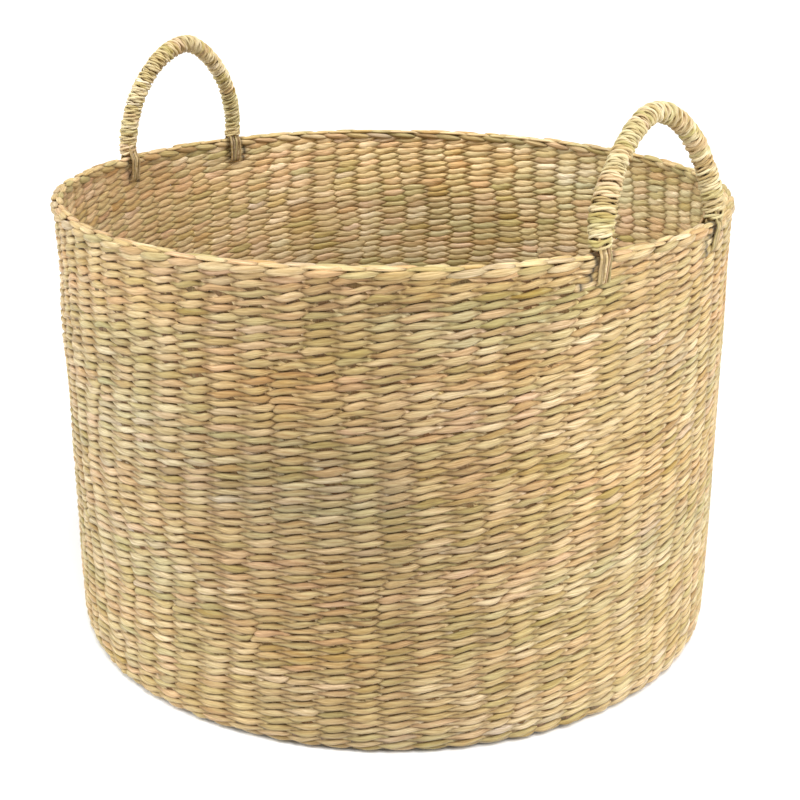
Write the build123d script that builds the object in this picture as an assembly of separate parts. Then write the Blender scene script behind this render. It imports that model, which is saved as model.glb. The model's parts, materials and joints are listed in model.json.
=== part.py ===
from build123d import *
import math
import os

# Twined seagrass storage basket: a round wall of two-strand twining over
# flat stakes, a twined base, a folded rim and two wrapped handles that hinge
# on the rim.  Millimetres, +Z up, origin at the centre of the base on the floor.

# ---- overall size ----
WALL_RADIUS = 250.0  # outside face of the wall
TOTAL_RIM_HEIGHT = 341.8  # floor to the top of the rim

# ---- strands ----
STRAND_DEPTH = 3.2  # a flattened strand, measured through the wall
ROW_PITCH = 5.6  # one round of twining
ROW_HEIGHT = 5.4
ROW_BEVEL = 1.1  # takes the corners off a strand's section
BEVEL_LIMIT = 0.34  # of the thinner side of the section
LAYER_GAP = 0.2  # between strands and stakes
FIT_GAP = 0.1

# ---- stakes ----
STAKE_COUNT = 72
STAKE_WIDTH = 20.0
STAKE_INNER = 243.2  # distance of a stake's flat inner face from the axis
STAKE_FOOT_Z = 7.8
STAKE_TOP_Z = 335.8

# ---- wall rows ----
WALL_START_Z = 11.0
WALL_ROWS = 58
ROWS_PER_NODE = 2
OUTER_ROW_RADIUS = WALL_RADIUS - STRAND_DEPTH / 2
INNER_ROW_RADIUS = STAKE_INNER - LAYER_GAP - STRAND_DEPTH / 2

# ---- rim border ----
RIM_WIDTH = 9.6
RIM_HEIGHT = 5.8
RIM_ROUNDING = 2.4
RIM_SEGMENT_LENGTH = 20.4
RIM_RADIUS = 244.9

# ---- base ----
CENTRE_RADIUS = 23.6
CENTRE_LIFT = 0.8
CENTRE_ROUNDING = 2.0
BASE_START = 24.0
BASE_LIFT = 0.6  # the middle of the base stands clear of the floor
LOWER_ROWS = 36
UPPER_ROWS = 39
BASE_NODES = 3
CORNER_RADIUS = 9.0
CORNER_TOP_Z = 10.8
EDGE_ROWS = 3
BASE_TOP_Z = 9.8
SPOKE_Z = 3.3
SPOKE_INNER_COUNT = 36
SPOKE_SPLIT_RADIUS = 125.0
SPOKE_END_RADIUS = 241.8
SPOKE_SIDE_GAP = 0.9

# ---- handles ----
HANDLE_ANGLES = {"a": 0.0, "b": 184.0}  # degrees round the rim
HANDLE_HALF_SPANS = {"a": 14.4, "b": 13.9}
HANDLE_RISES = {"a": 71.0, "b": 79.0}  # hinge line to the middle of the grip
HANDLE_LEAN = 10.0  # degrees inward from upright
HINGE_LIFT = 6.8  # hinge line above the rim
CORE_RADIUS = 4.0
WRAP_RADIUS = 7.2

# ---- anchors: the bare core strands looped through the wall ----
ANCHOR_ROW = 55  # the row they part, counted from the floor
ANCHOR_WIDTH = 8.0
ANCHOR_THICKNESS = 3.0
ANCHOR_THROUGH_HEIGHT = 4.8
ANCHOR_HOLE_WIDTH = 8.6
ANCHOR_ROUNDING = 1.2
ANCHOR_TOP_GAP = 0.4


def ring(radius, z, radial, height):
    """A closed round strand with a flattened, bevelled section."""
    outline = Rectangle(radial, height)
    section = chamfer(outline.vertices(), min(ROW_BEVEL, BEVEL_LIMIT * min(radial, height)))
    return revolve(Plane.XZ * Pos(radius, z) * section, axis=Axis.Z)


def flat_ring(inner, outer, z0, z1):
    """A round strand with a square section, for the rows that bear on the floor."""
    section = Pos((inner + outer) / 2, (z0 + z1) / 2) * Rectangle(outer - inner, z1 - z0)
    return revolve(Plane.XZ * section, axis=Axis.Z)


def row_z(index):
    """Height of the middle of a wall row, counted from 0 at the floor."""
    return WALL_START_Z + (index + 0.5) * ROW_PITCH


def foot_angles():
    """Where the four handle feet stand round the rim, in degrees."""
    angles = []
    for side, middle in HANDLE_ANGLES.items():
        angles.append(middle - HANDLE_HALF_SPANS[side])
        angles.append(middle + HANDLE_HALF_SPANS[side])
    return angles


def anchor_holes():
    """The four slots that let the anchors through the wall."""
    depth = WALL_RADIUS - INNER_ROW_RADIUS + 4 * STRAND_DEPTH
    slot = Box(depth, ANCHOR_HOLE_WIDTH, ROW_PITCH)
    slot = Pos(RIM_RADIUS, 0, row_z(ANCHOR_ROW)) * slot
    return [Rot(0, 0, angle) * slot for angle in foot_angles()]


def wall_row(index, holes):
    """One round of twining: its run outside the stakes and its run inside."""
    solids = []
    for radius in (OUTER_ROW_RADIUS, INNER_ROW_RADIUS):
        strand = ring(radius, row_z(index), STRAND_DEPTH, ROW_HEIGHT)
        if index == ANCHOR_ROW:
            strand = strand - holes
        solids.extend(strand.solids())
    return solids


def wall_stakes(holes):
    """The upright stakes held between the two runs of every row."""
    height = STAKE_TOP_Z - STAKE_FOOT_Z
    blank = Box(STRAND_DEPTH, STAKE_WIDTH, height)
    blank = Pos(STAKE_INNER + STRAND_DEPTH / 2, 0, STAKE_FOOT_Z + height / 2) * blank
    step = 360.0 / STAKE_COUNT
    solids = []
    for index in range(STAKE_COUNT):
        angle = index * step
        stake = Rot(0, 0, angle) * blank
        near = [abs((foot - angle + 180) % 360 - 180) < step for foot in foot_angles()]
        if any(near):
            stake = stake - holes
        solids.extend(stake.solids())
    return solids


def rim_border():
    """The stake ends, folded over and laid end to end along the rim."""
    section = RectangleRounded(RIM_WIDTH, RIM_HEIGHT, RIM_ROUNDING)
    segment = extrude(Plane.XZ * section, RIM_SEGMENT_LENGTH / 2, both=True)
    segment = Pos(RIM_RADIUS, 0, TOTAL_RIM_HEIGHT - RIM_HEIGHT / 2) * segment
    step = 360.0 / STAKE_COUNT
    return [Rot(0, 0, (index + 0.5) * step) * segment for index in range(STAKE_COUNT)]


def base_rows(first, last, low, high):
    """Rounds of twining in the base, between two heights."""
    solids = []
    for index in range(first, last):
        radius = BASE_START + (index + 0.5) * ROW_PITCH
        solids.append(ring(radius, (low + high) / 2, ROW_HEIGHT, high - low))
    return solids


def base_edge_rows():
    """The outermost flat rows, which the basket stands on."""
    start = BASE_START + LOWER_ROWS * ROW_PITCH
    pitch = (WALL_RADIUS - CORNER_RADIUS - start) / EDGE_ROWS
    solids = []
    for index in range(EDGE_ROWS):
        inner = start + index * pitch
        solids.append(flat_ring(inner, inner + pitch - LAYER_GAP, 0, STRAND_DEPTH))
    return solids


def corner_row():
    """The rows that turn from the base up into the wall."""
    centre_r = WALL_RADIUS - CORNER_RADIUS
    inside = CORNER_RADIUS - STRAND_DEPTH
    diagonal = math.sqrt(0.5)
    outer_mid = (centre_r + CORNER_RADIUS * diagonal, CORNER_RADIUS * (1 - diagonal))
    inner_mid = (centre_r + inside * diagonal, CORNER_RADIUS - inside * diagonal)
    outline = ThreePointArc((centre_r, 0), outer_mid, (WALL_RADIUS, CORNER_RADIUS))
    outline += Polyline(
        (WALL_RADIUS, CORNER_RADIUS),
        (WALL_RADIUS, CORNER_TOP_Z),
        (WALL_RADIUS - STRAND_DEPTH, CORNER_TOP_Z),
        (WALL_RADIUS - STRAND_DEPTH, CORNER_RADIUS),
    )
    outline += ThreePointArc(
        (WALL_RADIUS - STRAND_DEPTH, CORNER_RADIUS), inner_mid, (centre_r, STRAND_DEPTH)
    )
    outline += Line((centre_r, STRAND_DEPTH), (centre_r, 0))
    return revolve(Plane.XZ * make_face(outline), axis=Axis.Z)


def spokes(count, inner, outer):
    """Flat tapered stakes lying in the base, between its two runs of rows."""
    half = math.tan(math.pi / count)
    inner_half = inner * half - SPOKE_SIDE_GAP / 2
    outer_half = min(outer * half - SPOKE_SIDE_GAP / 2, STAKE_WIDTH / 2)
    outline = Polyline(
        (inner, -inner_half),
        (outer, -outer_half),
        (outer, outer_half),
        (inner, inner_half),
        (inner, -inner_half),
    )
    spoke = Pos(0, 0, SPOKE_Z) * extrude(make_face(outline), STRAND_DEPTH)
    return [Rot(0, 0, 360.0 / count * index) * spoke for index in range(count)]


def base_centre():
    """The plaited knot where the first stakes cross."""
    height = BASE_TOP_Z - CENTRE_LIFT
    disc = Pos(0, 0, CENTRE_LIFT + height / 2) * Cylinder(CENTRE_RADIUS, height)
    return fillet(disc.edges().filter_by(GeomType.CIRCLE), CENTRE_ROUNDING)


def handle_path(side):
    """Centre line of a handle: half an ellipse that leans in over the basket."""
    half_span = math.radians(HANDLE_HALF_SPANS[side])
    lean = math.radians(HANDLE_LEAN)
    foot_x = RIM_RADIUS * math.cos(half_span)
    foot_y = RIM_RADIUS * math.sin(half_span)
    plane = Plane(
        origin=(foot_x, 0, TOTAL_RIM_HEIGHT + HINGE_LIFT),
        x_dir=(0, 1, 0),
        z_dir=(math.cos(lean), 0, math.sin(lean)),
    )
    return plane * EllipticalCenterArc((0, 0), foot_y, HANDLE_RISES[side], arc_size=180)


def handle_rod(side, radius):
    """A round bar along the handle's centre line."""
    path = handle_path(side)
    return sweep(Plane(path ^ 0) * Circle(radius), path=path)


def handle_core(side):
    """The bundle of strands inside the handle."""
    return Rot(0, 0, HANDLE_ANGLES[side]) * handle_rod(side, CORE_RADIUS)


def handle_wrap(side):
    """The cord wound round the core."""
    wrap = handle_rod(side, WRAP_RADIUS) - handle_rod(side, CORE_RADIUS + FIT_GAP)
    return Rot(0, 0, HANDLE_ANGLES[side]) * wrap


def anchor(angle):
    """Bare strands up the outside and the inside of the wall, through one slot."""
    outside = WALL_RADIUS + LAYER_GAP
    inside = INNER_ROW_RADIUS - STRAND_DEPTH / 2 - LAYER_GAP
    low = row_z(ANCHOR_ROW) - ANCHOR_THROUGH_HEIGHT / 2
    high = TOTAL_RIM_HEIGHT - ANCHOR_TOP_GAP
    length = outside - inside + 2 * ANCHOR_THICKNESS
    middle = (outside + inside) / 2
    body = Pos(middle, 0, (low + high) / 2) * Box(length, ANCHOR_WIDTH, high - low)
    body = fillet(body.edges().filter_by(Axis.Y).sort_by(Axis.Z)[:2], ANCHOR_ROUNDING)
    notch_low = low + ANCHOR_THROUGH_HEIGHT
    notch = Box(outside - inside, 2 * ANCHOR_WIDTH, high)
    notch = Pos(middle, 0, notch_low + high / 2) * notch
    return Rot(0, 0, angle) * (body - notch)


def save(node, solids):
    """Write one named sub-part, made of one or more separate solids."""
    shape = Compound(children=list(solids))
    shape.label = node
    export_step(shape, os.path.join("parts", node + ".step"))


def save_wall():
    holes = anchor_holes()
    for first in range(0, WALL_ROWS, ROWS_PER_NODE):
        solids = []
        for index in range(first, first + ROWS_PER_NODE):
            solids.extend(wall_row(index, holes))
        save("wall_rows_%02d" % (first // ROWS_PER_NODE + 1), solids)
    save("wall_stakes", wall_stakes(holes))
    save("rim_border", rim_border())


def save_base():
    lower = LOWER_ROWS // BASE_NODES
    upper = UPPER_ROWS // BASE_NODES
    top_run_z = BASE_TOP_Z - STRAND_DEPTH
    for node in range(BASE_NODES):
        below = base_rows(node * lower, (node + 1) * lower, BASE_LIFT, STRAND_DEPTH)
        above = base_rows(node * upper, (node + 1) * upper, top_run_z, BASE_TOP_Z)
        save("base_lower_rows_%d" % (node + 1), below)
        save("base_upper_rows_%d" % (node + 1), above)
    save("base_edge_rows", base_edge_rows())
    save("base_corner_row", [corner_row()])
    save("base_centre", [base_centre()])
    save("base_spokes_inner", spokes(SPOKE_INNER_COUNT, BASE_START, SPOKE_SPLIT_RADIUS - SPOKE_SIDE_GAP))
    save("base_spokes_outer", spokes(STAKE_COUNT, SPOKE_SPLIT_RADIUS, SPOKE_END_RADIUS))


def save_handles():
    for side, middle in HANDLE_ANGLES.items():
        span = HANDLE_HALF_SPANS[side]
        save("handle_%s_core" % side, [handle_core(side)])
        save("handle_%s_wrap" % side, [handle_wrap(side)])
        save("handle_%s_anchor_1" % side, [anchor(middle - span)])
        save("handle_%s_anchor_2" % side, [anchor(middle + span)])


os.makedirs("parts", exist_ok=True)
save_wall()
save_base()
save_handles()
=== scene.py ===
import json
import math

import bpy
import numpy as np
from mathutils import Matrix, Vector


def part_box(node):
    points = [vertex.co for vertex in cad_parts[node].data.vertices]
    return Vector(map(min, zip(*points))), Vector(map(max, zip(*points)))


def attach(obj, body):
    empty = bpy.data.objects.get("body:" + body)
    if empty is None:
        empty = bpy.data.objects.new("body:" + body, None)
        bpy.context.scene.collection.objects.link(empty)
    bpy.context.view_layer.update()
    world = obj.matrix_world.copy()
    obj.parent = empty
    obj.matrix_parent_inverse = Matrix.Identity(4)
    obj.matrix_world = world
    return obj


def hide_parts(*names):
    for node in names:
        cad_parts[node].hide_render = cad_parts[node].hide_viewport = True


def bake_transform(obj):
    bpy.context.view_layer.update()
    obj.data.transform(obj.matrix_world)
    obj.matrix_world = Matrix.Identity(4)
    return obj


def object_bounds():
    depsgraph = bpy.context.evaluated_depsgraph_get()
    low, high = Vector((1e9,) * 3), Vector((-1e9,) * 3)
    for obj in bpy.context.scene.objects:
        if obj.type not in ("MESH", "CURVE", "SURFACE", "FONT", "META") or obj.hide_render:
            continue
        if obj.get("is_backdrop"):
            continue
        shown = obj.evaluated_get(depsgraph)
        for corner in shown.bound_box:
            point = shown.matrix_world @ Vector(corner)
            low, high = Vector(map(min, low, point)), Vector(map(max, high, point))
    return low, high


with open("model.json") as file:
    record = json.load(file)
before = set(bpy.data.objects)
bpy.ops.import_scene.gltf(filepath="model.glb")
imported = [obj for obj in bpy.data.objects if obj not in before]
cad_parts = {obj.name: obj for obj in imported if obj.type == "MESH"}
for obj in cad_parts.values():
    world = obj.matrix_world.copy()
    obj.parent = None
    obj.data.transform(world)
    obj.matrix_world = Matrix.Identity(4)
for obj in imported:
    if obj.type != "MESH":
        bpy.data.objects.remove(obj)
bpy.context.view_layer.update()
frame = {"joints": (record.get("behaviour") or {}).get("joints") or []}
rng = np.random.default_rng(20)

# ---------------------------------------------------------------- sizes, metres
MM = 0.001
WALL_R = (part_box("wall_rows_10")[1].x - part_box("wall_rows_10")[0].x) / 2
RIM_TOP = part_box("rim_border")[1].z
STAKE_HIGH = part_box("wall_stakes")[1]
HALF_STAKE = 1.6 * MM
MID_R = STAKE_HIGH.x - HALF_STAKE  # the middle of the wall's thickness
WEAVE_R = MID_R + 1.0 * MM
FIRST_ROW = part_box("wall_rows_01")[0].z
LAST_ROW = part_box("wall_rows_29")[1].z
WALL_ROWS = 58
ROW_GAP = 0.2 * MM
PITCH = (LAST_ROW - FIRST_ROW + ROW_GAP) / WALL_ROWS  # from one round of twining to the next
STAKES = 72
BASE_R0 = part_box("base_centre")[1].x + 0.4 * MM
BASE_ROWS = 39
MID_Z = (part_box("base_spokes_outer")[0].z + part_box("base_spokes_outer")[1].z) / 2
CORNER_R = WALL_R - 9 * MM
FOOT_R = 0.2449  # the handles' feet from the axis, as in the CAD model
GRIP_R = 7.2 * MM
HANDLE_LEAN = math.radians(10)
TIE_RISE = 2.4 * MM  # from an anchor's lowest point to the hole that it goes through
CAMERA_TURN = math.radians(44.65)  # where the photograph is taken from, round the basket

# how far each handle foot was tied in beside its nominal place: along the rim and outwards
TIED = {
    ("a", 1): (3.6 * MM, 0.5 * MM),
    ("a", 2): (4.0 * MM, 0.0),
    ("b", 1): (1.5 * MM, 0.0),
    ("b", 2): (3.2 * MM, 2.0 * MM),
}
ANCHORS = {}
for side in ("a", "b"):
    for number in (1, 2):
        low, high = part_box("handle_%s_anchor_%d" % (side, number))
        turned = TIED[side, number][0] / STAKE_HIGH.x
        ANCHORS[side, number] = (math.atan2(low.y + high.y, low.x + high.x) + turned, low.z + TIE_RISE)


def smooth(t):
    return t * t * (3 - 2 * t)


class Grid:
    """Smooth noise over a turn and a height, the same at 0 and 1 turn."""

    def __init__(self, turns, levels):
        self.values = rng.normal(size=(turns, levels + 1))

    def __call__(self, turn, level):
        turns, levels = self.values.shape
        u = (np.asarray(turn, float) % 1.0) * turns
        v = np.clip(level, 0, 0.9999) * (levels - 1)
        i, j = np.floor(u).astype(int) % turns, np.floor(v).astype(int)
        a, b = smooth(u - np.floor(u)), smooth(v - np.floor(v))
        k = (i + 1) % turns
        g = self.values
        return (g[i, j] * (1 - a) + g[k, j] * a) * (1 - b) + (g[i, j + 1] * (1 - a) + g[k, j + 1] * a) * b


column_wander = Grid(STAKES, 12)
column_drift = Grid(9, 4)
row_wander = Grid(30, 20)
Grid(40, 58)  # its values aren't used; drawing them keeps the later draws as they are
wall_wander = Grid(14, 7)
lot_wander = Grid(12, 9)


def parted(turn, height):
    """1 where a handle's strands push the stitches aside, 0 elsewhere."""
    share = np.zeros_like(turn)
    for angle, hole in ANCHORS.values():
        if height > hole:
            away = ((turn - (angle / (2 * math.pi)) + 0.5) % 1.0 - 0.5) * 2 * math.pi * MID_R
            share = np.maximum(share, np.exp(-(((away + 1.0 * MM) / (6.0 * MM)) ** 4)))
    return share


def painted_slit_shade(turn, height):
    """1 where painted shade stands for the dark gaps on each side of a handle's strands."""
    share = np.zeros_like(turn)
    for angle, hole in ANCHORS.values():
        if height > hole - 4 * MM:
            away = ((turn - (angle / (2 * math.pi)) + 0.5) % 1.0 - 0.5) * 2 * math.pi * MID_R
            for place, depth in ((-6.2 * MM, 1.15), (6.4 * MM, 0.75)):
                share = np.maximum(share, depth * np.exp(-(((away - place) / (2.3 * MM)) ** 2)))
    return share


def smooth_ends(turn):
    """Fades to nothing where a round joins its own start."""
    return np.clip(np.minimum(turn, 1 - turn) * STAKES, 0, 1)


def rim_shape(angle):
    """How far the hand-made rim is from round, as a share of its radius."""
    c = angle - CAMERA_TURN
    return 1.004 + 0.006 * np.sin(2 * c) + 0.008 * np.cos(3 * c) - 0.008 * np.sin(3 * c)


def base_shape(angle):
    c = angle - CAMERA_TURN
    return 1.011 + 0.019 * np.cos(2 * c) + 0.004 * np.cos(c)


def rim_tilt(angle):
    """How much higher or lower the rim stands round the basket."""
    c = angle - CAMERA_TURN
    dip = np.exp(2.6 * (np.cos(c - 2.85) - 1))
    return (-2.9 * np.cos(c) - 2.7 * np.sin(c) + np.cos(2 * c) - 3.4 * dip) * MM


def spread(angle, height):
    """The wall's radius over its nominal one."""
    h = np.clip(height / RIM_TOP, 0, 1)
    return rim_shape(angle) * h + base_shape(angle) * (1 - h)


def wall_frame(turn, height):
    """Mid-surface points, outward normals and up directions on the wall."""
    angle = turn * 2 * math.pi
    share = height / RIM_TOP
    r = WEAVE_R * spread(angle, height) + wall_wander(turn, share) * 0.7 * MM
    z = height + rim_tilt(angle) * share
    out = np.stack([np.cos(angle), np.sin(angle), np.zeros_like(angle)], 1)
    point = out * r[:, None]
    point[:, 2] = z
    up = np.zeros_like(out)
    up[:, 2] = 1
    return point, out, up


def profile_frame(turn, along):
    """Mid-surface frame in the base and round the corner; along is measured from the centre."""
    angle = turn * 2 * math.pi
    bend = MID_R - CORNER_R
    turned = np.clip((along - CORNER_R) / (bend * math.pi / 2), 0, 1) * math.pi / 2
    flat = np.minimum(along, CORNER_R)
    r = flat + bend * np.sin(turned)
    z = MID_Z + bend * (1 - np.cos(turned))
    r = r * (1 + (base_shape(angle) - 1) * np.clip(flat / CORNER_R, 0, 1))
    around = np.stack([np.cos(angle), np.sin(angle), np.zeros_like(angle)], 1)
    point = around * r[:, None]
    point[:, 2] = z
    out = around * np.sin(turned)[:, None]
    out[:, 2] = -np.cos(turned)
    up = around * np.cos(turned)[:, None]
    up[:, 2] = np.sin(turned)
    return point, out, up


# ---------------------------------------------------------------- strands into meshes
class Strands:
    """Collects tubes and makes one mesh of them, with what the materials read."""

    def __init__(self):
        self.co, self.quads, self.tris = [], [], []
        self.tint, self.grain, self.shade = [], [], []
        self.count = 0
        self.strand = 0

    def add(self, point, side, out, half_side, half_out, tint, shade, closed, corners=8, power=0.85, under=0.0):
        """A tube along the points. side and out span its section; tint is one colour a point.

        The last argument is how much painted shade darkens its edges, most of all the lower one."""
        n = len(point)
        t = np.arange(corners) / corners * 2 * math.pi
        cs = np.sign(np.cos(t)) * np.abs(np.cos(t)) ** power
        sn = np.sign(np.sin(t)) * np.abs(np.sin(t)) ** power
        a = half_side[:, None] * cs[None, :]
        b = half_out[:, None] * sn[None, :]
        co = point[:, None, :] + side[:, None, :] * a[..., None] + out[:, None, :] * b[..., None]
        step = np.linalg.norm(np.diff(point, axis=0), axis=1)
        length = np.concatenate([[0], np.cumsum(step)])
        grain = np.empty((n, corners, 3))
        grain[..., 0] = length[:, None] * 1000 + self.strand * 977.0
        grain[..., 1] = a * 1000
        grain[..., 2] = b * 1000
        first = self.count
        index = first + np.arange(n * corners).reshape(n, corners)
        rows = index if not closed else np.concatenate([index, index[:1]])
        here, there = rows[:-1], rows[1:]
        quads = np.stack([here, np.roll(here, -1, 1), np.roll(there, -1, 1), there], -1).reshape(-1, 4)
        flip = np.linalg.det(np.stack([point[1] - point[0], side[0], out[0]])) < 0
        self.co.append(co.reshape(-1, 3))
        self.grain.append(grain.reshape(-1, 3))
        self.tint.append(np.repeat(tint, corners, 0))
        # painted shade along a tube's edges, most of all along the lower one
        edges = 1.05 * np.clip(-cs, 0, 1) ** 4 + 0.4 * np.clip(cs, 0, 1) ** 4
        edge_shade = np.broadcast_to(under, (n,))[:, None] * edges
        self.shade.append((shade[:, None] + edge_shade).ravel())
        self.count += n * corners
        if not closed:
            for ring, end in ((index[0], 0), (index[-1], n - 1)):
                self.co.append(point[end][None, :])
                self.grain.append(grain[end].mean(0)[None, :])
                self.tint.append(tint[end][None, :])
                self.shade.append(shade[end : end + 1])
                centre = np.full(corners, self.count)
                self.count += 1
                after = np.roll(ring, -1)
                cap = np.stack([ring, centre, after] if end == 0 else [ring, after, centre], -1)
                self.tris.append(cap[:, ::-1] if flip else cap)
        self.quads.append(quads[:, ::-1] if flip else quads)
        self.strand += 1

    def build(self, name, material, body=None, nodes=()):
        """One piece of all the tubes, which rides on the body if one is given."""
        co = np.concatenate(self.co)
        co[:, 2] = np.maximum(co[:, 2], 0)
        quads = np.concatenate(self.quads)
        tris = np.concatenate(self.tris) if self.tris else np.zeros((0, 3), int)
        mesh = bpy.data.meshes.new(name)
        mesh.vertices.add(len(co))
        mesh.vertices.foreach_set("co", co.astype(np.float32).ravel())
        loops = np.concatenate([quads.ravel(), tris.ravel()]).astype(np.int32)
        mesh.loops.add(len(loops))
        mesh.loops.foreach_set("vertex_index", loops)
        start = np.concatenate([np.arange(len(quads)) * 4, len(quads) * 4 + np.arange(len(tris)) * 3])
        mesh.polygons.add(len(start))
        mesh.polygons.foreach_set("loop_start", start.astype(np.int32))
        mesh.polygons.foreach_set("use_smooth", np.ones(len(start), bool))
        tint = mesh.attributes.new("tint", "FLOAT_COLOR", "POINT")
        rgba = np.concatenate([np.concatenate(self.tint), np.ones((len(co), 1))], 1)
        tint.data.foreach_set("color", rgba.astype(np.float32).ravel())
        grain = mesh.attributes.new("grain", "FLOAT_VECTOR", "POINT")
        grain.data.foreach_set("vector", np.concatenate(self.grain).astype(np.float32).ravel())
        shade = mesh.attributes.new("shade", "FLOAT", "POINT")
        shade.data.foreach_set("value", np.concatenate(self.shade).astype(np.float32))
        mesh.update(calc_edges=True)
        mesh.validate()
        mesh.materials.append(material)
        piece = bpy.data.objects.new(name, mesh)
        bpy.context.scene.collection.objects.link(piece)
        if nodes:
            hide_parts(*nodes)
        if body:
            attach(piece, body)
        return piece


def linear(colours):
    c = np.asarray(colours, float) / 255
    return np.where(c <= 0.04045, c / 12.92, ((c + 0.055) / 1.055) ** 2.4)


PALER = np.array([0.9, 1.05, 2.1])  # a bright blade is a paler one
STRAW_SHARE = np.array([0.36, 0.18, 0.15, 0.06, 0.11, 0.07, 0.03, 0.04])
STRAW = linear([
    (206, 174, 120), (218, 190, 138), (192, 170, 112), (180, 163, 108),
    (208, 166, 120), (203, 158, 104), (172, 134, 88), (194, 168, 130),
])
STRAW = (STRAW * 0.75 + STRAW_SHARE @ STRAW / STRAW_SHARE.sum() * 0.25) * [0.98, 1.03, 1.08]
CORD = linear([(220, 200, 148), (236, 222, 178), (198, 188, 128), (216, 182, 138), (184, 156, 104)])
CORD_SHARE = np.array([0.36, 0.26, 0.18, 0.14, 0.06])

# These tones are set so that a render has the photograph's mean colours. They hold painted
# light and shade: the inside is painted lighter, the outside's near side and one side of the inside darker.
OUTER_TONE = np.array([1.08, 1.10, 1.11])
NEAR_SHADE = np.array([0.42, 0.46, 0.50])  # painted shade: how much darker the near side is than the flanks
# painted light: the inside is painted lighter than the outside
INNER_TONE_AND_LIGHT = np.array([1.46, 1.54, 1.76])
INNER_SIDE_SHADE = np.array([0.34, 0.42, 0.50])  # painted shade: how much darker the inside is on one side
FRONT_TURN = (CAMERA_TURN - math.pi / 2) / (2 * math.pi)


def lot_tone(turn, level):
    """Slow drifts from greener to redder grass round the basket."""
    drift = lot_wander(turn, level)[:, None]
    bundle = row_wander(turn + 0.37, 1 - level)[:, None]
    return 1 + drift * np.array([0.045, 0.0, -0.04]) + bundle * np.array([0.025, 0.035, 0.095])


def near_side_shade(turn, level):
    """From 0 to 1 on the side of the basket that is darkest in the photograph, where the outside gets painted
    shade.
    """
    away = (turn - FRONT_TURN + 0.02 + 0.5) % 1.0 - 0.5
    ends = 0.35 * np.clip((level - 0.55) / 0.35, 0, 1) + 0.18 * np.clip((0.42 - level) / 0.25, 0, 1)
    return np.exp(-((away / 0.085) ** 2)) * (1 - ends)


def outer_tone_and_shade(turn, level):
    """The outside's tone, with painted shade on its near side."""
    return OUTER_TONE - near_side_shade(turn, level)[:, None] * NEAR_SHADE


def inner_light_and_shade(turn, level):
    """The inside: painted light, with painted shade deeper down, away from the rim, and on one side."""
    away = (turn - 0.55 + 0.5) % 1.0 - 0.5
    # painted shade: darker deeper down inside the basket
    deep = np.clip(1 - 1.2 * (0.88 - level), 0.71, 1)
    side = np.exp(-((away / 0.09) ** 2))[:, None] * INNER_SIDE_SHADE
    return INNER_TONE_AND_LIGHT * deep * (1 - side)


def strand_tints(stitches, palette=STRAW, share=STRAW_SHARE, run=(1, 5), jitter=0.095):
    """One colour a stitch: short runs of one blade, with each stitch a little different."""
    out = np.zeros((stitches, 3))
    at = 0
    share = share / share.sum()
    while at < stitches:
        length = int(rng.integers(*run))
        out[at : at + length] = palette[rng.choice(len(palette), p=share)]
        at += length
    soft = (np.roll(out, 1, 0) + 2 * out + np.roll(out, -1, 0)) / 4
    return soft * (1 + rng.normal(size=(stitches, 1)) * jitter * PALER)


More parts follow.
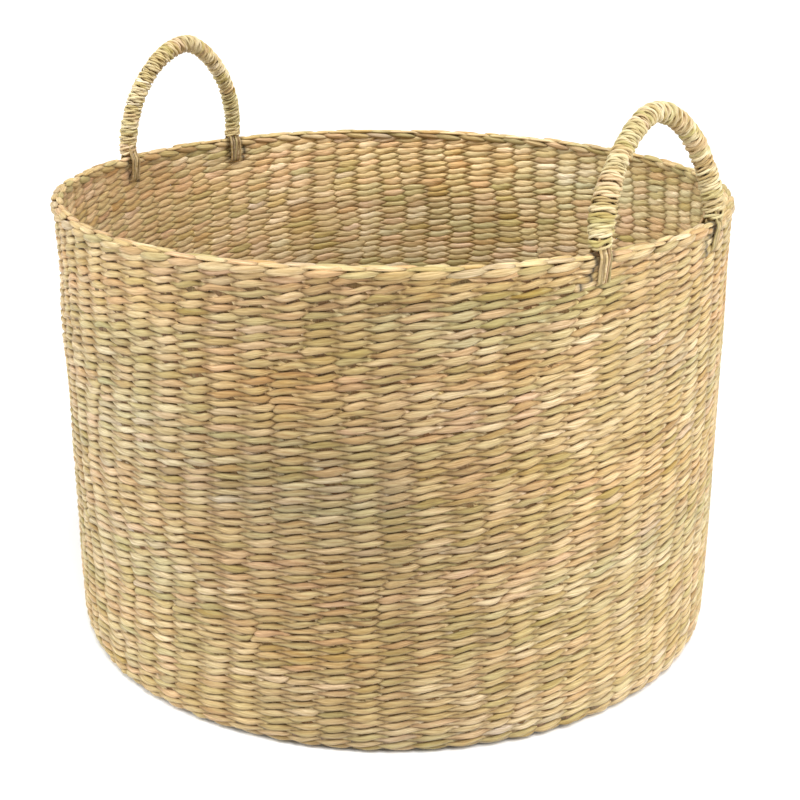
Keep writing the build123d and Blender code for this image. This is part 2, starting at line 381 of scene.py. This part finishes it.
def twined_row(
    mesh, place, height, stakes, samples,
    depth=1.75, tall=2.74, slant=1.45, thick=1.75, lift=0.0, wander=1.0, inner=1.0, under=1.9,
):
    """Two strands that change places between every pair of stakes, along one closed round.

    place gives the mid-surface. In millimetres: depth is how far a strand leaves it, tall and
    thick are half its section, slant how far it climbs at a crossing. inner scales the depth
    on the inside, and the last argument is how much painted shade darkens the strand's edges."""
    level = height / RIM_TOP
    n = stakes * samples
    u = np.arange(n) / samples
    turn = u / stakes
    slip = np.interp(u, np.arange(stakes + 1), rng.normal(size=stakes + 1) * 0.10)
    wobble = column_wander(turn, level) * 0.12 + column_drift(turn, level) * 0.22 + slip * smooth_ends(turn)
    where = (u + wobble * wander) / stakes
    point, out, up = place(where)
    rise = row_wander(turn, level) * 0.45 * MM * wander
    for strand in (0, 1):
        x = u + strand
        stitch = np.round(x).astype(int)
        local = x - stitch
        stitch = stitch % stakes
        jitter = rng.normal(size=stakes)
        size = np.clip(1 + 0.15 * rng.normal(size=stakes), 0.72, 1.3)
        lean = rng.normal(size=stakes)
        hump = np.cos(math.pi * local)
        tip = np.clip(np.cos(math.pi * (local - 0.09 * hump)), 0, 1) ** 0.95
        tip = (np.roll(tip, 1) + 2 * tip + np.roll(tip, -1)) / 4
        rho = depth * MM * np.tanh(1.15 * np.cos(math.pi * (x - 0.05))) / np.tanh(1.15)
        rho = rho * (1 - 0.8 * parted(turn, height)) * np.where(rho < 0, inner, 1)
        inside = smooth(np.clip(-rho / (0.8 * depth * MM * inner) - 0.15, 0, 1))
        zeta = slant * MM * np.sin(math.pi * x) * (1 - 0.5 * inside)
        zeta = zeta + jitter[stitch] * 0.40 * MM * hump**2
        zeta = zeta + lean[stitch] * 0.22 * MM * np.sin(2 * math.pi * local)
        least = 0.47 + 0.40 * inside
        half_up = tall * MM * (least + (1 - least) * tip) * (1 + (size[stitch] - 1) * hump)
        half_up = half_up * np.where(rho < 0, 1 + 0.38 * (1 - inner), 1)
        half_out = thick * MM * (1.12 - 0.12 * tip) * (1 - 0.15 * inside)
        tints = strand_tints(stakes)
        # painted shade: a little darker towards each stitch's ends
        tint = tints[stitch] * (0.94 + 0.06 * tip)[:, None]
        tint = tint * lot_tone(turn, level)
        # painted shade in the gaps beside a handle's strands
        tint = tint * (1 - 0.8 * painted_slit_shade(turn, height))[:, None]
        within = inside[:, None]
        # painted light and shade on the inside, painted shade on the near side of the outside
        tint = tint * (within * inner_light_and_shade(turn, level) + (1 - within) * outer_tone_and_shade(turn, level))
        centre = point + out * (rho + lift)[:, None] + up * (zeta + rise)[:, None]
        ahead = np.roll(centre, -1, 0) - np.roll(centre, 1, 0)
        ahead /= np.linalg.norm(ahead, axis=1)[:, None]
        side = up - ahead * (up * ahead).sum(1)[:, None]
        side /= np.linalg.norm(side, axis=1)[:, None]
        face = np.cross(ahead, side)
        face *= np.sign((face * out).sum(1))[:, None]
        roll = 0.22 * np.sin(2 * math.pi * local + 0.3) + 0.12 * jitter[stitch] * hump
        c, s = np.cos(roll)[:, None], np.sin(roll)[:, None]
        side, face = side * c + face * s, face * c - side * s
        # painted shade in the hollows at each stitch's ends, where the strands cross
        shade = (1 - tip) ** 1.5 * (0.95 - 0.9 * inside)
        # painted shade along the strands' edges, strongest on the near side
        edge_shade = under * (1 - 0.8 * inside) * (0.84 + 0.62 * near_side_shade(turn, level))
        mesh.add(centre, side, face, half_up, half_out, tint, shade, True, under=edge_shade)


# ---------------------------------------------------------------- materials
def grass(name, gloss=0.5, blotch=0.35, streak=0.85, bump=0.6, brown=(0.30, 0.17, 0.07)):
    """Dried seagrass: colour by strand, fibres along it, darker veins, painted highlights and shade, and a waxy
    gloss.
    """
    material = bpy.data.materials.new(name)
    material.use_nodes = True
    nodes, links = material.node_tree.nodes, material.node_tree.links
    nodes.clear()
    out = nodes.new("ShaderNodeOutputMaterial")
    shader = nodes.new("ShaderNodeBsdfPrincipled")
    links.new(shader.outputs["BSDF"], out.inputs["Surface"])
    shader.inputs["Specular IOR Level"].default_value = 0.35
    shader.inputs["Sheen Weight"].default_value = 0.12
    shader.inputs["Sheen Roughness"].default_value = 0.5

    def node(kind, **values):
        made = nodes.new(kind)
        for key, value in values.items():
            setattr(made, key, value)
        return made

    def noise(scale, vector, detail, rough=0.55):
        squeeze = node("ShaderNodeVectorMath", operation="MULTIPLY")
        squeeze.inputs[1].default_value = scale
        links.new(vector, squeeze.inputs[0])
        made = node("ShaderNodeTexNoise")
        made.inputs["Scale"].default_value = 1.0
        made.inputs["Detail"].default_value = detail
        made.inputs["Roughness"].default_value = rough
        links.new(squeeze.outputs[0], made.inputs["Vector"])
        return made.outputs["Fac"]

    def remap(value, a, b, c, d):
        made = node("ShaderNodeMapRange")
        for k, v in enumerate((a, b, c, d)):
            made.inputs[k + 1].default_value = v
        links.new(value, made.inputs[0])
        return made.outputs[0]

    def mix(kind, factor, a, b):
        made = node("ShaderNodeMix", data_type="RGBA", blend_type=kind)
        for socket, value in ((0, factor), (6, a), (7, b)):
            if isinstance(value, (int, float)):
                made.inputs[socket].default_value = value
            elif isinstance(value, tuple):
                made.inputs[socket].default_value = (*value, 1)
            else:
                links.new(value, made.inputs[socket])
        return made.outputs[2]

    tint = node("ShaderNodeAttribute", attribute_name="tint").outputs["Color"]
    grain = node("ShaderNodeAttribute", attribute_name="grain").outputs["Vector"]
    shade = node("ShaderNodeAttribute", attribute_name="shade").outputs["Fac"]
    fibre = noise((0.07, 1.1, 1.1), grain, 4.0, 0.65)
    vein = noise((0.04, 0.8, 0.8), grain, 2.0, 0.5)
    patch = noise((0.055, 0.25, 0.25), grain, 2.0, 0.5)
    glint = noise((0.05, 1.4, 1.4), grain, 2.0, 0.5)
    fleck = noise((0.35, 0.9, 0.9), grain, 2.0, 0.6)
    colour = mix("MULTIPLY", remap(fibre, 0.36, 0.60, streak, 0.0), tint, (0.60, 0.52, 0.38))
    # painted highlights: pale streaks along the fibres
    colour = mix("MULTIPLY", remap(glint, 0.54, 0.68, 0.0, 1.0), colour, (1.30, 1.34, 1.46))
    colour = mix("MIX", remap(patch, 0.52, 0.72, 0.0, blotch), colour, (0.52, 0.44, 0.20))
    colour = mix("MIX", remap(vein, 0.60, 0.68, 0.0, 0.5), colour, brown)
    colour = mix("MIX", remap(fleck, 0.70, 0.78, 0.0, 0.55), colour, brown)
    # painted shade where the shade attribute is high
    colour = mix("MULTIPLY", remap(shade, 0.30, 1.3, 0.0, 0.75), colour, (0.42, 0.32, 0.20))
    links.new(colour, shader.inputs["Base Color"])
    links.new(remap(fibre, 0.3, 0.7, gloss + 0.14, gloss - 0.02), shader.inputs["Roughness"])
    height = node("ShaderNodeMath", operation="ADD")
    links.new(fibre, height.inputs[0])
    links.new(vein, height.inputs[1])
    relief = node("ShaderNodeBump")
    relief.inputs["Strength"].default_value = bump
    relief.inputs["Distance"].default_value = 0.0006
    links.new(height.outputs[0], relief.inputs["Height"])
    links.new(relief.outputs["Normal"], shader.inputs["Normal"])
    return material


weft_material = grass("seagrass_weft")
base_material = grass("seagrass_base", blotch=0.45)
stake_material = grass("seagrass_stake", blotch=0.5, streak=0.7)
rim_material = grass("seagrass_rim", blotch=0.2)
cord_material = grass("seagrass_cord", gloss=0.48, blotch=0.15, streak=0.65)

# ---------------------------------------------------------------- wall
for number in range(1, WALL_ROWS // 2 + 1):
    weave = Strands()
    for row in (2 * number - 2, 2 * number - 1):
        height = FIRST_ROW + (row + 0.5) * PITCH
        place = lambda turn, h=height: wall_frame(turn, np.full_like(turn, h))
        twined_row(weave, place, height, STAKES, 10, inner=0.36)
    nodes = ["wall_rows_%02d" % number]
    weave.build("weave_wall_%02d" % number, weft_material, "basket", nodes)

# ---------------------------------------------------------------- base and corner
SPLIT_R, INNER_SPLIT_R = 0.125, 0.055  # where the stakes of the base divide in two
BASE_ENDS = (0, 13, 26, 36)  # the rounds that each piece of the base stops at


def base_row(weave, index):
    """One round of the flat base, over fewer stakes towards the centre."""
    along = BASE_R0 + (index + 0.5) * PITCH
    stakes = STAKES if along > SPLIT_R else STAKES // 2 if along > INNER_SPLIT_R else STAKES // 4
    twined_row(
        weave,
        lambda turn: profile_frame(turn, np.full_like(turn, along)),
        3 * MM,
        stakes,
        8,
        depth=3.0,
        thick=1.5,
        lift=-0.2 * MM,
        wander=0.6,
    )


for number in (1, 2, 3):
    weave = Strands()
    for index in range(BASE_ENDS[number - 1], BASE_ENDS[number]):
        base_row(weave, index)
    weave.build(
        "weave_base_%d" % number,
        base_material,
        "basket",
        ["base_lower_rows_%d" % number, "base_upper_rows_%d" % number],
    )
weave = Strands()
for index in range(BASE_ENDS[-1], BASE_ROWS):
    base_row(weave, index)
bend_length = (MID_R - CORNER_R) * math.pi / 2
for share in (0.34, 0.92):
    twined_row(
        weave,
        lambda turn, s=share: profile_frame(turn, np.full_like(turn, CORNER_R + s * bend_length)),
        6 * MM,
        STAKES,
        9,
        depth=1.6,
        tall=2.75,
        wander=0.7,
    )
weave.build("weave_corner", base_material, "basket", ["base_edge_rows", "base_corner_row"])

# ---------------------------------------------------------------- stakes
stakes = Strands()
levels = np.linspace(9 * MM, RIM_TOP - 3 * MM, 30)
shares = levels / RIM_TOP
for index in range(STAKES):
    turn = np.full_like(levels, index / STAKES)
    turn = turn + (column_wander(turn, shares) * 0.10 + column_drift(turn, shares) * 0.15) / STAKES
    point, out, up = wall_frame(turn, levels)
    side = np.cross(up, out)
    # painted shade: the stakes are darkened, as they only show in the gaps between rows
    tint = strand_tints(len(levels)) * np.array([0.44, 0.35, 0.26])
    wide, thin, shade = (np.full(len(levels), value) for value in (9.9 * MM, 0.9 * MM, 0.6))
    stakes.add(point, side, out, wide, thin, tint, shade, False, 6)
stakes.build("stakes_wall", stake_material, "basket", ["wall_stakes"])
spokes = Strands()
for index in range(STAKES):
    start = BASE_R0 * 0.8 if index % 4 == 0 else 0.05 if index % 2 == 0 else 0.115
    along = np.linspace(start, CORNER_R + bend_length, 16)
    turn = np.full_like(along, index / STAKES)
    point, out, up = profile_frame(turn, along)
    side = np.cross(up, out)
    half = np.minimum(8.0 * MM, along * math.pi / STAKES * 0.8)
    thin, shade = (np.full(len(along), value) for value in (1.2 * MM, 0.6))
    # painted shade: the spokes are darkened, as they only show between the rows
    spokes.add(point, side, out, half, thin, strand_tints(len(along)) * 0.6, shade, False, 6)
nodes = ["base_spokes_inner", "base_spokes_outer"]
spokes.build("stakes_base", stake_material, "basket", nodes)

# ---------------------------------------------------------------- base knot: a small plait
knot = Strands()
half_knot = BASE_R0 * 0.92
lanes = 9
KNOT_POINTS = 40
for direction in (0, 1):
    for lane in range(lanes):
        offset = (lane - (lanes - 1) / 2) / (lanes - 1) * 2 * half_knot * 0.93
        reach = math.sqrt(max(half_knot**2 - offset**2, (half_knot * 0.25) ** 2)) + 1.5 * MM
        t = np.linspace(-reach, reach, KNOT_POINTS)
        crossing = t / (2 * half_knot * 0.93) * (lanes - 1) + (lanes - 1) / 2 + lane + direction
        over = np.cos(math.pi * crossing)
        z = MID_Z + over * 1.7 * MM
        beside = np.full_like(t, offset)
        point = np.stack([t, beside, z] if direction == 0 else [beside, t, z], 1)
        out = np.tile([0.0, 0.0, 1.0], (KNOT_POINTS, 1))
        side = np.tile([0.0, 1.0, 0.0] if direction == 0 else [1.0, 0.0, 0.0], (KNOT_POINTS, 1))
        wide, thin, shade = (np.full(KNOT_POINTS, value) for value in (2.4 * MM, 1.4 * MM, 0.2))
        tint = strand_tints(KNOT_POINTS, run=(20, 40))
        knot.add(point, side, out, wide, thin, tint, shade, False)
knot.build("base_knot", base_material, "basket", ["base_centre"])

# ---------------------------------------------------------------- rim: stake ends folded over
def leaf(mesh, turn, height, sway, half_up, half_out, tint, blunt=False):
    """One pointed end of a stake, laid along the rim."""
    point, out, up = wall_frame(turn, height)
    t = np.linspace(0, 1, len(turn))
    full = np.clip(np.sin(math.pi * (0.04 + 0.92 * t)), 0, 1) ** 0.55
    if blunt:
        full = np.clip(t / 0.5 + 0.1, 0, 1) ** 0.5 * (1 - 0.85 * np.clip((t - 0.55) / 0.45, 0, 1) ** 5)
    # painted shade: each leaf darker towards its ends, where it tucks under the next
    shade = (1 - full) * 0.9
    # painted shade in the gaps beside a handle's strands
    tint = tint * (1 - 0.8 * painted_slit_shade(turn, RIM_TOP))[:, None]
    tint = tint * (0.5 + 0.5 * full)[:, None]
    tall, thin = half_up * full + 0.25 * MM, half_out * (0.3 + 0.7 * full)
    mesh.add(point + out * sway[:, None], up, out, tall, thin, tint, shade, False)


rim = Strands()
t = np.linspace(0, 1, 16)
for index in range(STAKES):
    for face in (1, -1):
        nudge = rng.normal(size=6)
        tone = 1.04 if face > 0 else 1.12
        tint = np.repeat(strand_tints(1, jitter=0.06) * tone, 16, 0)
        # the fat last stitch, slanting up under the border
        turn = (index + 0.5 * (face < 0) - 0.62 + 1.24 * t + 0.07 * nudge[0]) / STAKES
        height = RIM_TOP + (-6.3 + 2.5 * t + 0.3 * nudge[1] + 0.3 * np.sin(math.pi * t)) * MM
        bulge = 2.2 if face > 0 else 1.3
        belly = 1.0 + bulge * np.sin(math.pi * np.clip(t + 0.05, 0, 1))
        sway = face * belly * MM * (1 - 0.75 * parted(turn, RIM_TOP))
        leaf(rim, turn, height, sway, (2.4 + 0.25 * nudge[2]) * MM, 1.9 * MM, tint)
        # the border strand that lies along the top
        tint = np.repeat(strand_tints(1, jitter=0.09) * tone * 1.14, 16, 0)
        length = 1.22 + 0.12 * nudge[3]
        turn = (index + 0.5 * (face < 0) + length * t + 0.12 * nudge[4]) / STAKES
        height = RIM_TOP + (-3.3 + 1.9 * smooth(np.clip(t / 0.35, 0, 1)) + 0.25 * nudge[5]) * MM
        sway = face * (1.1 + 1.3 * smooth(t)) * MM
        leaf(rim, turn, height, sway, (1.15 + 0.12 * nudge[0]) * MM, 2.2 * MM, tint, True)
rim.build("rim_fold", rim_material, "basket", ["rim_border"])


# ---------------------------------------------------------------- handles
CORD_PITCH = 3.05 * MM  # from one turn of the cord to the next
TIE_POINTS = 60


def even(line, count):
    """The same line with its points evenly spaced."""
    length = np.concatenate([[0], np.cumsum(np.linalg.norm(np.diff(line, axis=0), axis=1))])
    s = np.linspace(0, length[-1], count)
    return np.stack([np.interp(s, length, line[:, k]) for k in range(line.shape[1])], 1)


def settle(points, side):
    """Moves the feet of a handle onto the hand-made rim, which isn't quite round or level."""
    moved = points.copy()
    angles = [ANCHORS[side, number][0] for number in (1, 2)]
    feet = [np.array([math.cos(angle), math.sin(angle), 0]) for angle in angles]
    drop = 1 - smooth(np.clip((points[:, 2] - RIM_TOP - 5 * MM) / (45 * MM), 0, 1))
    middle = (feet[0] + feet[1]) / 2
    across = feet[1] - feet[0]
    first = points @ across < MID_R * (middle @ across)
    for number, angle, foot in ((1, angles[0], feet[0]), (2, angles[1], feet[1])):
        share = drop * (first if number == 1 else ~first)
        shift = MID_R * (float(spread(angle, RIM_TOP)) - 1) + TIED[side, number][1]
        moved += (foot * shift + np.array([0, 0, float(rim_tilt(angle))])) * share[:, None]
    return moved


def handle_curve(side, count):
    """Points, tangents and the two cross directions along a handle's centre line, from CAD."""
    joint = next(j for j in frame["joints"] if j["child"] == "handle_" + side)
    hinge, along = Vector(joint["pos_m"]), Vector(joint["axis"])
    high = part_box("handle_%s_wrap" % side)[1]
    lean = HANDLE_LEAN
    outward = along.cross(Vector((0, 0, 1))).normalized()
    climb = (Vector((0, 0, 1)) * math.cos(lean) - outward * math.sin(lean)).normalized()
    rise = (high.z - hinge.z - GRIP_R) / math.cos(lean) + (1.5 * MM if side == "b" else 0)
    foot = math.hypot(hinge.x, hinge.y)
    half = math.sqrt(max(FOOT_R**2 - foot**2, 0))
    t = np.linspace(0, math.pi / 2, 500)
    near = np.stack([half * np.cos(t) ** (2 / 1.85), rise * np.sin(t) ** (2 / 1.95)], 1)
    far = np.stack([-half * np.cos(t) ** (2 / 1.5), rise * np.sin(t) ** (2 / 1.8)], 1)[::-1]
    flat = np.concatenate([near, far[1:]])
    flat[:, 0] += (1.5 * MM if side == "b" else 3.5 * MM) * flat[:, 1] / rise
    flat = even(flat, 600)
    for _ in range(160):
        flat[1:-1] = (flat[:-2] + 2 * flat[1:-1] + flat[2:]) / 4
    legs = np.stack([np.full(60, half), np.linspace(-6.2 * MM, 0, 60, endpoint=False)], 1)
    other = legs[::-1] * [-1, 1]
    flat = np.concatenate([legs, flat, other])
    flat[:, 0] += np.interp(flat[:, 0], [-half, half], [TIED[side, 1][0], TIED[side, 2][0]])
    length = np.concatenate([[0], np.cumsum(np.linalg.norm(np.diff(flat, axis=0), axis=1))])
    s = np.linspace(0, length[-1], count)
    x, y = np.interp(s, length, flat[:, 0]), np.interp(s, length, flat[:, 1])
    a, c, o = np.array(along), np.array(climb), np.array(hinge)
    up = np.where(y[:, None] < 0, np.array([0, 0, 1.0]), c)
    point = settle(o + x[:, None] * a + y[:, None] * up, side)
    tangent = np.gradient(point, axis=0)
    tangent /= np.linalg.norm(tangent, axis=1)[:, None]
    normal = np.cross(a, c)
    normal = np.tile(normal / np.linalg.norm(normal), (count, 1))
    normal -= tangent * (normal * tangent).sum(1)[:, None]
    normal /= np.linalg.norm(normal, axis=1)[:, None]
    return s, point, tangent, normal, np.cross(tangent, normal), o, a


def random_line(n, every, middle, scatter):
    """A value at each of n points, drawn at every so many and straight between them."""
    knots = np.arange(0, n, every)
    return np.interp(np.arange(n), knots, middle + scatter * rng.normal(size=len(knots)))


def bend_at_hinge(piece):
    """Bakes the piece's placement into its mesh."""
    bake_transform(piece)


def wound_cord(side):
    """One fine cord wound tightly round the handle, twisted from two plies."""
    s, point, tangent, normal, across, hinge, along = handle_curve(side, 4000)
    total = s[-1]
    turns = int(total / CORD_PITCH)
    per_turn = 26
    n = turns * per_turn
    w = np.linspace(0, 1, n)
    pitch = np.interp(w, np.linspace(0, 1, turns), 1 + 0.09 * rng.normal(size=turns))
    w = np.concatenate([[0], np.cumsum(pitch)[:-1]])
    w = w / w[-1]
    at = 1.4 * MM + w * (total - 2.8 * MM)
    phase = np.arange(n) / per_turn * 2 * math.pi

    def along_curve(values):
        return np.stack([np.interp(at, s, values[:, k]) for k in range(3)], 1)

    centre, e1, e2, tan = along_curve(point), along_curve(normal), along_curve(across), along_curve(tangent)
    bulk = np.interp(w, np.linspace(0, 1, 24), 5.75 + 0.22 * rng.normal(size=24)) * MM
    ends = np.clip(np.minimum(at, total - at) / (5 * MM), 0, 1)
    bulk = bulk * (0.86 + 0.14 * smooth(ends))
    if side == "a":  # thicker towards one foot
        where = [0, 0.05, 0.14, 0.3, 0.5, 0.68, 0.8, 0.9, 0.96, 1]
        bulk = bulk * np.interp(w, where, [1, 1.06, 1.08, 0.98, 1, 0.97, 1.12, 1.26, 1.2, 1.06])
    slip = random_line(n, 9, 0, 0.42) * MM
    out = e1 * np.cos(phase)[:, None] + e2 * np.sin(phase)[:, None]
    line = centre + out * bulk[:, None] + tan * slip[:, None]
    forward = np.gradient(line, axis=0)
    forward /= np.linalg.norm(forward, axis=1)[:, None]
    lateral = np.cross(forward, out)
    lateral /= np.linalg.norm(lateral, axis=1)[:, None]
    tints = strand_tints(turns * 2, CORD * 0.6 + CORD.mean(0) * 0.4, CORD_SHARE, run=(1, 4), jitter=0.11)
    mesh = Strands()
    twist = np.cumsum(np.full(n, 2 * math.pi / 15.0)) + 0.6 * random_line(n, 30, 0, 1)
    thick = random_line(n, 12, 1, 0.17)
    for ply in (0, 1):
        turn = twist + ply * math.pi
        c, k = np.cos(turn), np.sin(turn)
        offset = 0.98 * MM
        line_ply = line + lateral * (offset * c)[:, None] + out * (offset * 0.75 * k)[:, None]
        colour = tints[(np.arange(n) // (per_turn // 2)) % len(tints)] * (1 + 0.04 * ply)
        shade = 0.25 + np.clip(-k, 0, 1) * 0.75
        wide, deep = 1.02 * MM * thick, 0.92 * MM * thick
        mesh.add(line_ply, lateral, out, wide, deep, colour, shade, False, 7, 1.0)
    nodes = ["handle_%s_wrap" % side]
    piece = mesh.build("handle_%s_cord" % side, cord_material, None, nodes)
    bend_at_hinge(piece)
    core = Strands()
    s, point, tangent, normal, across, hinge, along = handle_curve(side, 160)
    for k in range(5):
        a = k / 5 * 2 * math.pi + s / 0.05
        offset = normal * np.cos(a)[:, None] + across * np.sin(a)[:, None]
        half, shade = np.full(160, 1.7 * MM), np.full(160, 0.3)
        tint = strand_tints(160, run=(30, 80))
        core.add(point + offset * 2.5 * MM, across, normal, half, half, tint, shade, False, 6, 1.0)
    nodes = ["handle_%s_core" % side]
    piece = core.build("handle_%s_strands" % side, rim_material, None, nodes)
    bend_at_hinge(piece)
    return hinge, along


def anchor(side, number, hinge, along, sign):
    """The bare core strands: down the outside of the wall, through it and up the inside."""
    half = math.sqrt(FOOT_R**2 - hinge[0] ** 2 - hinge[1] ** 2)
    foot = hinge + along * (half * sign + TIED[side, number][0])
    angle = math.atan2(foot[1], foot[0])
    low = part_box("handle_%s_anchor_%d" % (side, number))[0]
    tilt = float(rim_tilt(angle))
    hole, top, start = low.z + TIE_RISE + tilt, RIM_TOP + tilt, hinge[2] + tilt
    mesh = Strands()
    out = np.array([math.cos(angle), math.sin(angle), 0])
    tangent = np.array([-math.sin(angle), math.cos(angle), 0])
    wall = (MID_R * float(spread(angle, RIM_TOP)) + 0.5 * TIED[side, number][1]) * out
    lanes = (-3.9, -2.0, 0.0, 1.9, 3.9)
    for k, lane in enumerate(lanes):
        lane = lane * MM
        # one face of the wall, in millimetres out from its middle and up; the other mirrors it
        down = [
            (2.6, start * 1000 + 4),
            (4.6, top * 1000 + 2.2),
            (6.2, top * 1000 - 2.5),
            (5.2, top * 1000 - 9),
            (4.6, hole * 1000 + 6),
            (3.4, hole * 1000 + 1),
        ]
        knots = np.array(down + [(0, hole * 1000 - 0.6)] + [(-x, z) for x, z in down[::-1]])
        t = np.linspace(0, len(knots) - 1, TIE_POINTS)
        i = np.clip(np.floor(t).astype(int), 0, len(knots) - 2)
        f = t - i
        p0, p1 = knots[np.maximum(i - 1, 0)], knots[i]
        p2, p3 = knots[i + 1], knots[np.minimum(i + 2, len(knots) - 1)]
        f = f[:, None]
        square, cube = 2 * p0 - 5 * p1 + 4 * p2 - p3, 3 * p1 - p0 - 3 * p2 + p3
        path = 0.5 * (2 * p1 + (p2 - p0) * f + square * f**2 + cube * f**3)
        path = path + 0.25 * np.stack([np.sin(t * 1.3 + k * 2), np.zeros(TIE_POINTS)], 1)
        spreading = lane * (1 + 0.16 * np.sin(t * 0.9 + k)) + 0.35 * MM * np.sin(t * 0.7 + 2.1 * k)
        point = wall + out * path[:, :1] * MM + tangent * spreading[:, None]
        point[:, 2] = path[:, 1] * MM
        ahead = np.gradient(point, axis=0)
        ahead /= np.linalg.norm(ahead, axis=1)[:, None]
        across = np.tile(tangent, (TIE_POINTS, 1))
        face = np.cross(ahead, across)
        half, shade = np.full(TIE_POINTS, 0.95 * MM), np.full(TIE_POINTS, 0.25)
        tint = strand_tints(TIE_POINTS, run=(30, 61)) * (0.95, 0.6, 1.0, 0.7, 0.85)[k]
        mesh.add(point, across, face, half, half, tint, shade, False, 7, 1.0)
    nodes = ["handle_%s_anchor_%d" % (side, number)]
    name = "handle_%s_tie_%d" % (side, number)
    piece = mesh.build(name, rim_material, None, nodes)
    bend_at_hinge(piece)


for side in ("a", "b"):
    hinge, along = wound_cord(side)
    anchor(side, 1, hinge, along, -1)
    anchor(side, 2, hinge, along, 1)

# ---------------------------------------------------------------- room, light, camera
floor_mesh = bpy.data.meshes.new("floor")
reach = 12.0
corners = [(-reach, -reach, 0), (reach, -reach, 0), (reach, reach, 0), (-reach, reach, 0)]
floor_mesh.from_pydata(corners, [], [(0, 1, 2, 3)])
floor = bpy.data.objects.new("floor", floor_mesh)
bpy.context.scene.collection.objects.link(floor)
paper = bpy.data.materials.new("floor_paper")
paper.use_nodes = True
surface = paper.node_tree.nodes["Principled BSDF"]
surface.inputs["Base Color"].default_value = (0.93, 0.93, 0.93, 1)
surface.inputs["Roughness"].default_value = 0.9
surface.inputs["Specular IOR Level"].default_value = 0.1
floor_mesh.materials.append(paper)
floor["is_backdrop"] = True

world = bpy.data.worlds.new("studio")
bpy.context.scene.world = world
world.use_nodes = True
sky = world.node_tree
dim = sky.nodes["Background"]
dim.inputs["Color"].default_value = (1, 1, 1, 1)
dim.inputs["Strength"].default_value = 0.3  # the light that the object gets from all round
seen = sky.nodes.new("ShaderNodeBackground")
seen.inputs["Color"].default_value = (1, 1, 1, 1)
seen.inputs["Strength"].default_value = 1.0  # plain white behind the floor's edge
ray = sky.nodes.new("ShaderNodeLightPath")
both = sky.nodes.new("ShaderNodeMixShader")
sky.links.new(ray.outputs["Is Camera Ray"], both.inputs[0])
sky.links.new(dim.outputs[0], both.inputs[1])
sky.links.new(seen.outputs[0], both.inputs[2])
sky.links.new(both.outputs[0], sky.nodes["World Output"].inputs["Surface"])

# the photograph's directions: from the basket back to the camera, to its right, and up
BACK = Vector((math.sin(CAMERA_TURN), -math.cos(CAMERA_TURN), 0))
RIGHT = Vector((math.cos(CAMERA_TURN), math.sin(CAMERA_TURN), 0))
UP = Vector((0, 0, 1))
CAMERA_DISTANCE = 1.0  # chosen: the fit to the photograph's outline doesn't settle it
CAMERA_HEIGHT = 0.5544
CAMERA_PITCH = 0.3716  # radians down


def sun(name, turn, height, strength, softness, colour=(1, 1, 1)):
    """A soft light from a direction: degrees to the camera's right, degrees up."""
    data = bpy.data.lights.new(name, "SUN")
    data.energy = strength
    data.color = colour
    data.angle = math.radians(softness)
    lamp = bpy.data.objects.new(name, data)
    a, e = math.radians(turn), math.radians(height)
    source = (BACK * math.cos(a) + RIGHT * math.sin(a)) * math.cos(e) + UP * math.sin(e)
    lamp.rotation_euler = source.to_track_quat("Z", "Y").to_euler()
    bpy.context.scene.collection.objects.link(lamp)


sun("key", 12, 60, 2.5, 30)
sun("right", 74, 30, 1.76, 40, (0.99, 1.0, 1.04))
sun("left", -80, 32, 2.05, 40, (0.945, 1.0, 1.04))

camera_data = bpy.data.cameras.new("camera")
camera = bpy.data.objects.new("camera", camera_data)
bpy.context.scene.collection.objects.link(camera)
camera_data.lens = 59.85
camera_data.sensor_width = 36
camera_data.shift_x = 0.0097
camera_data.shift_y = -0.0013
camera.location = BACK * CAMERA_DISTANCE + UP * CAMERA_HEIGHT
look = -BACK * math.cos(CAMERA_PITCH) - UP * math.sin(CAMERA_PITCH)
camera.rotation_mode = "QUATERNION"
camera.rotation_quaternion = look.to_track_quat("-Z", "Y")
bpy.context.scene.camera = camera
bpy.context.scene.view_settings.view_transform = "Standard"

low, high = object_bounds()
